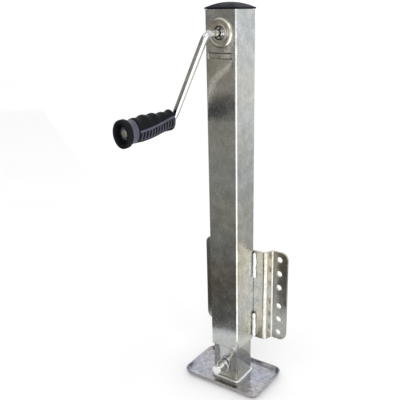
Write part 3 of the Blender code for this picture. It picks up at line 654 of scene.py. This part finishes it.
def build_foot_weld():
    """Lumpy bead round the foot of the ram tube, over the hidden fillet of the leg."""
    low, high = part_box("foot_weld")
    radius = 2.5 * MM
    reach = high.x - radius
    outline = rounded_outline(reach, reach, 5 * MM, 34, 8)
    path = [Vector((x, y, low.z + 1.4 * MM)) for x, y in outline]
    radii = []
    for k, point in enumerate(path):
        ripple = abs(math.sin(math.pi * k / 2.6))
        radii.append(radius * (0.84 + 0.16 * ripple) + 0.5 * MM * noise.noise(point * 120))
    bead = sweep("foot_bead", path, radii, 14, closed=True, up=(0, 1, 0))
    place_piece(bead, "ram", WELD, ["foot_weld"])
    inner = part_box("drop_leg")[1].x + GAP
    rings = []
    for half, z in ((inner, low.z), (reach, low.z), (reach, high.z), (inner, high.z)):
        rings.append(tube_ring(half, TUBE_CORNER, z, 6))
    fillet = loft("foot_fillet", rings, closed_ring=True, sharp=50)
    place_piece(fillet, "ram", WELD, [])


# ------------------------------------------------------- foot, pin, ring

def build_foot():
    """Pressed tray: flat floor, wide soft bend all round, rim leaning out with a round lip."""
    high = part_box("foot_plate")[1]
    thick = 3 * MM
    rim = high.z
    under = [(-8 * MM, 0.0), (-6.5 * MM, 0.0), (-4.9 * MM, 0.5 * MM), (-3.2 * MM, 2.4 * MM),
             (-1.2 * MM, 6.0 * MM), (0.0, rim - 1.6 * MM), (-0.2 * MM, rim - 0.5 * MM), (-0.9 * MM, rim)]
    upper = [(-1.9 * MM, rim - 0.1 * MM), (-2.6 * MM, rim - 0.8 * MM), (-4.4 * MM, 6.6 * MM),
             (-6.4 * MM, 4.0 * MM), (-8.2 * MM, thick + 0.2 * MM), (-10.5 * MM, thick)]
    line = [(p.x, p.y) for p in curve_through(under + upper, 4)]
    rings = []
    for inset, z in line:
        shape = rounded_outline(high.x + inset, high.y + inset, FOOT_CORNER + inset, 12, 12)
        rings.append([Vector((x, y, z)) for x, y in shape])
    flat_x, flat_y = high.x - 12 * MM, high.y - 12 * MM
    for share in (0.75, 0.5, 0.3):
        shape = rounded_outline(flat_x * share, flat_y * share, 5 * MM * share, 12, 12)
        rings.append([Vector((x, y, thick)) for x, y in shape])
    foot = loft("foot_tray", rings, sharp=60)
    place_piece(foot, "ram", FOOT_ZINC, ["foot_plate"])


def build_pin():
    low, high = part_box("pull_pin")
    head = high.x
    shank = PIN_RADIUS
    length = high.y - low.y
    shape = [(head - 1.4 * MM, 0.0), (head - 0.5 * MM, 0.3 * MM), (head, 1.0 * MM), (head, 2.2 * MM),
             (head - 0.4 * MM, 2.9 * MM), (shank + 0.3 * MM, 3.1 * MM), (shank, 3.5 * MM),
             (shank, length - 3.4 * MM), (shank - 0.5 * MM, length - 2.0 * MM),
             (4.4 * MM, length - 0.3 * MM), (3.6 * MM, length)]
    place = axis_place((0, 1, 0), (0, low.y, PIN_Z))
    pin = turned("pin_bar", shape, place, 56, ring=False)
    place_piece(pin, "pin", PIN_ZINC, ["pull_pin"])


def build_ring():
    """Loose wire ring: one turn whose two ends almost meet."""
    low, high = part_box("pull_ring")
    wire = (high.y - low.y) / 2
    middle = (low + high) / 2
    radius = (high.x - low.x) / 2 - wire
    gap = 0.05
    steps = 72
    path = []
    for k in range(steps + 1):
        turn = -math.pi / 2 + gap + (2 * math.pi - 2 * gap) * k / steps
        path.append(middle + Vector((radius * math.cos(turn), 0, radius * math.sin(turn))))
    radii = [wire] * (steps + 1)
    radii[0] = radii[-1] = wire * 0.7
    ring = sweep("wire_ring", path, radii, 14, up=(0, 1, 0))
    place_piece(ring, "ring", BRIGHT, ["pull_ring"])


# --------------------------------------------------------- crank and grip

def grip_reach(node):
    """Nearest and furthest distance of a CAD node along the grip's axis."""
    places = [(v.co - GRIP_PLACE).dot(GRIP_AXIS) for v in frame["nodes"][node].data.vertices]
    return min(places), max(places)


def grip_place():
    """Local Z runs outwards along the grip, local X to the jack's right and local Y up."""
    across = Vector((1, 0, 0))
    up = GRIP_AXIS.cross(across).normalized()
    if up.z < 0:
        up = -up
    turn = Matrix((across, up, GRIP_AXIS)).transposed().to_4x4()
    return Matrix.Translation(GRIP_PLACE) @ turn


def build_rod():
    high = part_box("crank_rod")[1]
    tip = grip_reach("crank_rod")[1]
    corners = [(0, high.y, SHAFT_Z), (0, ARM_TOP_Y, SHAFT_Z), GRIP_PLACE, GRIP_PLACE + GRIP_AXIS * tip]
    path = fillet_path(corners, ARM_BEND)
    start = path[0] + Vector((0, -0.7 * MM, 0))
    end = path[-1] - GRIP_AXIS * (0.7 * MM)
    path = [path[0], start] + path[1:-1] + [end, path[-1]]
    radii = [ROD_RADIUS] * len(path)
    radii[0] = radii[-1] = ROD_RADIUS - 0.7 * MM
    rod = sweep("crank_bar", path, radii, 40)
    place_piece(rod, "crank", BRIGHT, ["crank_rod"])


def sleeve_radius(share, turn):
    """Sleeve radius from the inner end (share 0) to the neck (1); turn is measured from straight up."""
    base = curve_value(share, [15.0, 14.2, 15.9, 17.3, 17.7, 16.6]) * MM
    top = 0.5 + 0.5 * math.cos(turn)
    swell = 0.9 * MM * math.cos(2 * math.pi * (4 * share + 0.1)) * top ** 1.5
    return base + swell


def curve_value(share, values):
    """Smooth value between evenly spaced ones."""
    place = share * (len(values) - 1)
    k = min(int(place), len(values) - 2)
    before = values[max(k - 1, 0)]
    after = values[min(k + 2, len(values) - 1)]
    a, b, t = values[k], values[k + 1], place - k
    return 0.5 * (2 * a + (b - before) * t + (2 * before - 5 * a + 4 * b - after) * t ** 2
                  + (3 * a - before - 3 * b + after) * t ** 3)


def grip_point(place, turn, radius, height):
    """Point on the oval grip: turn is 0 straight up and positive towards the jack's right."""
    squeeze = GRIP_OVAL if radius > GRIP_BORE + MM else 1.0
    return place @ Vector((radius * math.sin(turn) * squeeze, radius * math.cos(turn), height))


def oval_ring(name, profile, place):
    turns = [2 * math.pi * k / GRIP_SIDES for k in range(GRIP_SIDES)]
    rings = [[grip_point(place, t, radius, height) for t in turns] for radius, height in profile]
    return loft(name, rings, closed_ring=True)


def build_sleeve(place):
    start, end = grip_reach("grip_sleeve")
    turns = [2 * math.pi * k / GRIP_SIDES for k in range(GRIP_SIDES)]
    rings = [[grip_point(place, t, GRIP_BORE, start + 2 * MM) for t in turns]]
    rings.append([grip_point(place, t, GRIP_BORE, start) for t in turns])
    rings.append([grip_point(place, t, sleeve_radius(0, t) - 1.4 * MM, start) for t in turns])
    for k in range(SLEEVE_STEPS + 1):
        share = k / SLEEVE_STEPS
        height = start + 0.8 * MM + (end - start - 0.8 * MM) * share
        rings.append([grip_point(place, t, sleeve_radius(share, t), height) for t in turns])
    rings.append([grip_point(place, t, GRIP_BORE, end) for t in turns])
    sleeve = loft("sleeve_rubber", rings, closed_ring=True, sharp=50)
    place_piece(sleeve, "grip", BLACK_RUBBER, ["grip_sleeve"])


def side_rail(name, place, side, turn_at, width, shares):
    """Grey rail that follows the sleeve's side; turn_at gives its place round the grip."""
    start, end = grip_reach("grip_sleeve")
    steps = 48
    path = []
    radii = []
    for k in range(steps + 1):
        share = shares[0] + (shares[1] - shares[0]) * k / steps
        turn = turn_at(share)
        height = start + (end - start) * share
        path.append(grip_point(place, side * turn, sleeve_radius(share, turn) + 0.1 * MM, height))
        radii.append(width * (0.6 if k in (0, steps) else 1.0))
    rail = sweep(name, path, radii, 12)
    place_piece(rail, "grip", GREY_PLASTIC, [])


def upper_turn(share):
    return math.radians(64 + 26 * math.sin(math.pi / 2 * share))


def lower_turn(share):
    return math.radians(122 + 14 * share)


def build_side_panels(place):
    """Slotted grey panel on both sides of the grip: two rails joined by twelve ribs."""
    start, end = grip_reach("grip_sleeve")
    ribs = 12
    section = ((-0.8, 0.8), (0.5, 0.8), (0.8, 0.5), (0.8, -0.5), (0.5, -0.8), (-0.8, -0.8))
    for side, side_name in ((1, "right"), (-1, "left")):
        side_rail("panel_rail_upper_" + side_name, place, side, upper_turn, 1.6 * MM, (0.02, 0.99))
        side_rail("panel_rail_lower_" + side_name, place, side, lower_turn, 0.35 * MM, (0.03, 0.95))
        bm = bmesh.new()
        for k in range(ribs):
            share = 0.05 + 0.88 * k / (ribs - 1)
            rings = []
            for j in range(9):
                turn = upper_turn(share) + (lower_turn(share) - upper_turn(share)) * j / 8
                radius = sleeve_radius(share, turn)
                height = start + (end - start) * share
                rings.append([grip_point(place, side * turn, radius + lift * MM, height + wide * MM)
                              for lift, wide in section])
            skin(bm, rings)
        panel = new_piece("panel_ribs_" + side_name, bm, 50)
        place_piece(panel, "grip", GREY_PLASTIC, [])


def build_grip_end(place):
    """Neck band, end flange with its hollow, core and the retainer on the rod's tip."""
    low, high = grip_reach("grip_band")
    bore = GRIP_BORE
    neck = [(bore, low), (15.9 * MM, low), (16.6 * MM, low + 0.8 * MM), (16.4 * MM, (low + high) / 2),
            (17.4 * MM, high - 2.2 * MM), (18.2 * MM, high - 0.6 * MM), (18.2 * MM, high), (bore, high)]
    band = oval_ring("neck_band", neck, place)
    place_piece(band, "grip", GREY_PLASTIC, ["grip_band"])
    low, high = grip_reach("grip_flange")
    outer = 19.4 * MM
    hollow = 13.6 * MM
    floor = grip_reach("grip_core")[1] + GAP
    shape = [(outer - 1.2 * MM, low), (outer - 0.2 * MM, low + 0.8 * MM), (outer, low + 2.4 * MM),
             (outer, high - 2.6 * MM), (outer - 0.6 * MM, high - 1.0 * MM),
             (outer - 2.2 * MM, high - 0.1 * MM), (hollow + 1.6 * MM, high - 0.1 * MM),
             (hollow + 0.3 * MM, high - 0.9 * MM), (hollow, high - 2.4 * MM)]
    profile = [(bore, low)] + [(p.x, p.y) for p in curve_through(shape, 4)]
    profile += [(hollow - 0.4 * MM, floor), (bore, floor)]
    flange = oval_ring("end_flange", profile, place)
    place_piece(flange, "grip", BLACK_RUBBER, ["grip_flange"])
    start, end = grip_reach("grip_core")
    inner = ROD_RADIUS + GAP
    shape = [(inner, start), (8.3 * MM, start), (8.6 * MM, start + 0.4 * MM), (8.6 * MM, end - 0.5 * MM),
             (8.1 * MM, end), (inner, end)]
    core = turned("grip_tube", shape, place, 48)
    place_piece(core, "grip", GREY_PLASTIC, ["grip_core"])
    start, end = grip_reach("grip_retainer")
    shape = [(5.0 * MM, start), (6.0 * MM, start + 0.4 * MM), (6.0 * MM, end - 0.8 * MM),
             (5.2 * MM, end - 0.2 * MM), (2.0 * MM, end), (0.6 * MM, end - 0.3 * MM)]
    disc = turned("rod_retainer", shape, place, 40, ring=False)
    place_piece(disc, "crank", GEAR_STEEL, ["grip_retainer"])


# -------------------------------------------------------- inside the tube

def build_lead_screw():
    """Screw with a real helical thread, plain collar and journal."""
    low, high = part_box("lead_screw")
    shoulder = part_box("bearing_lower_race")[0].z - GAP
    radius = 8 * MM
    collar = 12.5 * MM
    journal = 6 * MM
    sides = 32
    per_turn = 8
    start = low.z + 1.5 * MM
    end = shoulder - 9 * MM
    rings = [circle(radius - 1.9 * MM, low.z, sides)]
    count = int((end - start) / THREAD_PITCH * per_turn)
    for k in range(count + 1):
        height = start + (end - start) * k / count
        ring = []
        for j in range(sides):
            turn = 2 * math.pi * j / sides
            phase = (height / THREAD_PITCH - j / sides) % 1.0
            depth = 1.5 * MM * soft_step(0.28, 0.45, abs(phase - 0.5))
            reach = radius - depth
            ring.append(Vector((reach * math.cos(turn), reach * math.sin(turn), height)))
        rings.append(ring)
    top = ((radius - 0.3 * MM, end + 0.6 * MM), (collar - 0.4 * MM, end + 0.7 * MM),
           (collar, end + 1.2 * MM), (collar, shoulder - 0.5 * MM), (collar - 0.4 * MM, shoulder),
           (journal, shoulder), (journal, high.z - 0.6 * MM), (journal - 0.6 * MM, high.z))
    rings += [circle(reach, height, sides) for reach, height in top]
    screw = loft("threaded_screw", rings, sharp=50)
    place_piece(screw, "screw", GEAR_STEEL, ["lead_screw"])


def build_ball_cage():
    """Brass-coloured cage with separate steel balls in it."""
    low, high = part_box("bearing_ball_cage")
    middle = (low.z + high.z) / 2
    radius = (high.z - low.z) / 2
    circle_radius = high.x - radius - 0.7 * MM
    bm = bmesh.new()
    for k in range(BEARING_BALLS):
        turn = 2 * math.pi * k / BEARING_BALLS
        place = Matrix.Translation((circle_radius * math.cos(turn), circle_radius * math.sin(turn), middle))
        bmesh.ops.create_icosphere(bm, subdivisions=3, radius=radius, matrix=place)
    race = new_piece("bearing_balls", bm, 60)
    place_piece(race, "ball_cage", BEARING_STEEL, ["bearing_ball_cage"])
    thin = 0.6 * MM
    shape = [(circle_radius - 2.4 * MM, middle - thin), (circle_radius + 2.4 * MM, middle - thin),
             (circle_radius + 2.7 * MM, middle), (circle_radius + 2.4 * MM, middle + thin),
             (circle_radius - 2.4 * MM, middle + thin)]
    cage = turned("bearing_cage", shape, Matrix.Identity(4), 64)
    place_piece(cage, "ball_cage", BRONZE, [])


def finish_cad_nodes():
    """Hidden mechanism: the CAD shapes stay, with real surfaces."""
    looks = {"bronze": BRONZE, "gear_steel": GEAR_STEEL, "bearing_steel": BEARING_STEEL,
             "hub_shade_steel": HUB_SHADE_STEEL}
    # The shaft bushing and crank pin take the near-black steel, painted shade for the gap round the shaft.
    kinds = {"shaft_bushing": "hub_shade_steel", "rear_bushing": "bronze", "pinion_washer": "bearing_steel",
             "bearing_plate": "gear_steel", "bearing_upper_race": "bearing_steel",
             "bearing_lower_race": "bearing_steel", "crank_pin": "hub_shade_steel",
             "drive_pinion": "bearing_steel", "shaft_clip": "bearing_steel", "driven_gear": "gear_steel",
             "gear_pin": "gear_steel", "ram_nut": "bronze"}
    for node, kind in kinds.items():
        piece = frame["nodes"][node]
        piece.data.materials.clear()
        piece.data.materials.append(looks[kind])


# ------------------------------------------------------------------ stage

def stage_material(name, colour, roughness):
    material, tree, shader = start_material(name, 0.0, roughness)
    where = add_node(tree, "ShaderNodeTexCoord").outputs["Object"]
    cloud = noise_field(tree, where, 0.4, 2.0)
    low = tuple(c * 0.985 for c in colour)
    tree.links.new(ramp(tree, cloud, [(0.3, low), (0.7, colour)]), shader.inputs["Base Color"])
    return material


def flat_floor(name, side, height, material):
    """Level square round the origin."""
    bm = bmesh.new()
    half = side / 2
    corners = [(-half, -half), (half, -half), (half, half), (-half, half)]
    bm.faces.new([bm.verts.new((x, y, 0)) for x, y in corners])
    sheet = new_piece(name, bm)
    sheet.location.z = height
    sheet.data.materials.append(material)


def mirror_only(card):
    """Stage object that only reflections show."""
    card.visible_camera = False
    card.visible_diffuse = False
    card.visible_shadow = False


def fan_card(name, middle, half_angle, stops, glow=0.0):
    """Floor card that only mirrors show: a fan round the jack whose shade changes with distance.

    middle is its direction and half_angle its half width, in degrees from -Y towards +X;
    stops are (distance, shade) pairs; glow makes it shine by itself.
    """
    material, tree, shader = start_material(name, 0.0, 1.0)
    where = add_node(tree, "ShaderNodeTexCoord").outputs["Object"]
    size = add_node(tree, "ShaderNodeVectorMath", {"operation": "LENGTH"})
    tree.links.new(where, size.inputs[0])
    near, far = stops[0][0], stops[-1][0]
    share = spread(tree, size.outputs["Value"], 0.0, 1.0, near, far)
    marks = [((distance - near) / (far - near), shade) for distance, shade in stops]
    tree.links.new(ramp(tree, share, marks), shader.inputs["Base Color"])
    shader.inputs["Emission Color"].default_value = (1.0, 1.0, 1.0, 1.0)
    shader.inputs["Emission Strength"].default_value = glow
    bm = bmesh.new()
    steps = 16
    rows = []
    for k in range(steps + 1):
        turn = math.radians(middle - half_angle + 2 * half_angle * k / steps)
        rows.append([bm.verts.new((math.sin(turn) * d, -math.cos(turn) * d, 0)) for d in (near, far)])
    for here, there in zip(rows, rows[1:]):
        bm.faces.new((here[0], here[1], there[1], there[0]))
    card = new_piece(name, bm)
    card.location.z = MM
    card.data.materials.append(material)
    mirror_only(card)


def wall_card(name, middle, distance, width, height, shade):
    """Standing card that only mirrors show."""
    bm = bmesh.new()
    corners = [(-width / 2, 0), (width / 2, 0), (width / 2, height), (-width / 2, height)]
    bm.faces.new([bm.verts.new((x, 0, z)) for x, z in corners])
    card = new_piece(name, bm)
    turn = math.radians(middle)
    place = Matrix.Translation((math.sin(turn) * distance, -math.cos(turn) * distance, 0))
    card.matrix_world = place @ Matrix.Rotation(turn, 4, "Z")
    card.data.materials.append(stage_material(name, shade, 1.0))
    mirror_only(card)


def grey(level):
    return (level, level, level)


def build_stage():
    flat_floor("floor", 60, -0.4 * MM, stage_material("pale_floor", grey(0.93), 0.8))
    fan_card("dark_card", -58, 66, [(0.17, (0.075, 0.068, 0.058)), (0.42, (0.085, 0.077, 0.064)),
                                    (0.7, (0.21, 0.215, 0.205)), (1.2, (0.265, 0.275, 0.27)),
                                    (3.2, (0.285, 0.275, 0.255))])
    wall_card("dark_wall", -58, 3.2, 9, 3, (0.3, 0.278, 0.25))
    fan_card("bright_card", 56, 38, [(0.12, grey(0.9)), (60, grey(0.9))], 1.3)
    fan_card("grey_card", 147, 40, [(0.12, (0.62, 0.64, 0.63)), (0.4, (0.48, 0.48, 0.45)),
                                    (1.1, (0.46, 0.48, 0.5)), (2.4, (0.76, 0.79, 0.83))])


def area_light(name, place, target, side, power):
    lamp = bpy.data.lights.new(name, "AREA")
    lamp.shape = "SQUARE"
    lamp.size = side
    lamp.energy = power
    light = bpy.data.objects.new(name, lamp)
    bpy.context.scene.collection.objects.link(light)
    aim = (Vector(target) - Vector(place)).to_track_quat("-Z", "Y")
    light.matrix_world = Matrix.Translation(place) @ aim.to_matrix().to_4x4()


def build_lights():
    world = bpy.data.worlds.new("studio")
    bpy.context.scene.world = world
    world.use_nodes = True
    background = world.node_tree.nodes["Background"]
    background.inputs["Color"].default_value = (1.0, 1.0, 1.0, 1.0)
    background.inputs["Strength"].default_value = 1.08
    area_light("key", (1.5, -1.5, 2.2), (0, 0, 0.3), 1.2, 12)
    bpy.context.scene.view_settings.view_transform = "Standard"


def build_camera():
    """Stands front right of the jack, a little above its top."""
    place = Vector((0.4587, -0.7103, 0.6062))
    yaw, pitch, roll = math.radians(33.06), math.radians(21.59), math.radians(-0.47)
    ahead = Vector((-math.sin(yaw) * math.cos(pitch), math.cos(yaw) * math.cos(pitch), -math.sin(pitch)))
    level = Vector((math.cos(yaw), math.sin(yaw), 0))
    rise = level.cross(ahead)
    right = level * math.cos(roll) + rise * math.sin(roll)
    up = rise * math.cos(roll) - level * math.sin(roll)
    data = bpy.data.cameras.new("camera")
    data.sensor_width = 36.0
    data.lens = 50.75
    data.shift_x = -0.0751
    data.shift_y = 0.0802
    camera = bpy.data.objects.new("camera", data)
    bpy.context.scene.collection.objects.link(camera)
    camera.matrix_world = Matrix.Translation(place) @ Matrix((right, up, -ahead)).transposed().to_4x4()
    bpy.context.scene.camera = camera


# ------------------------------------------------------------------ build

build_camera()
build_outer_tube()
build_square_inner("ram_shell", "ram_tube", [(SLEEVE_HOLE, PIN_Z)])
LEG_DRILLED = [(PIN_HOLE, PIN_Z + LEG_HOLE_PITCH * k) for k in range(LEG_HOLES)]
build_square_inner("leg_shell", "drop_leg", LEG_DRILLED)
build_cap()
build_boss()
build_bracket()
build_bracket_welds()
build_foot()
build_foot_weld()
build_pin()
build_ring()
build_rod()
GRIP = grip_place()
build_sleeve(GRIP)
build_side_panels(GRIP)
build_grip_end(GRIP)
build_lead_screw()
build_ball_cage()
finish_cad_nodes()
build_stage()
build_lights()
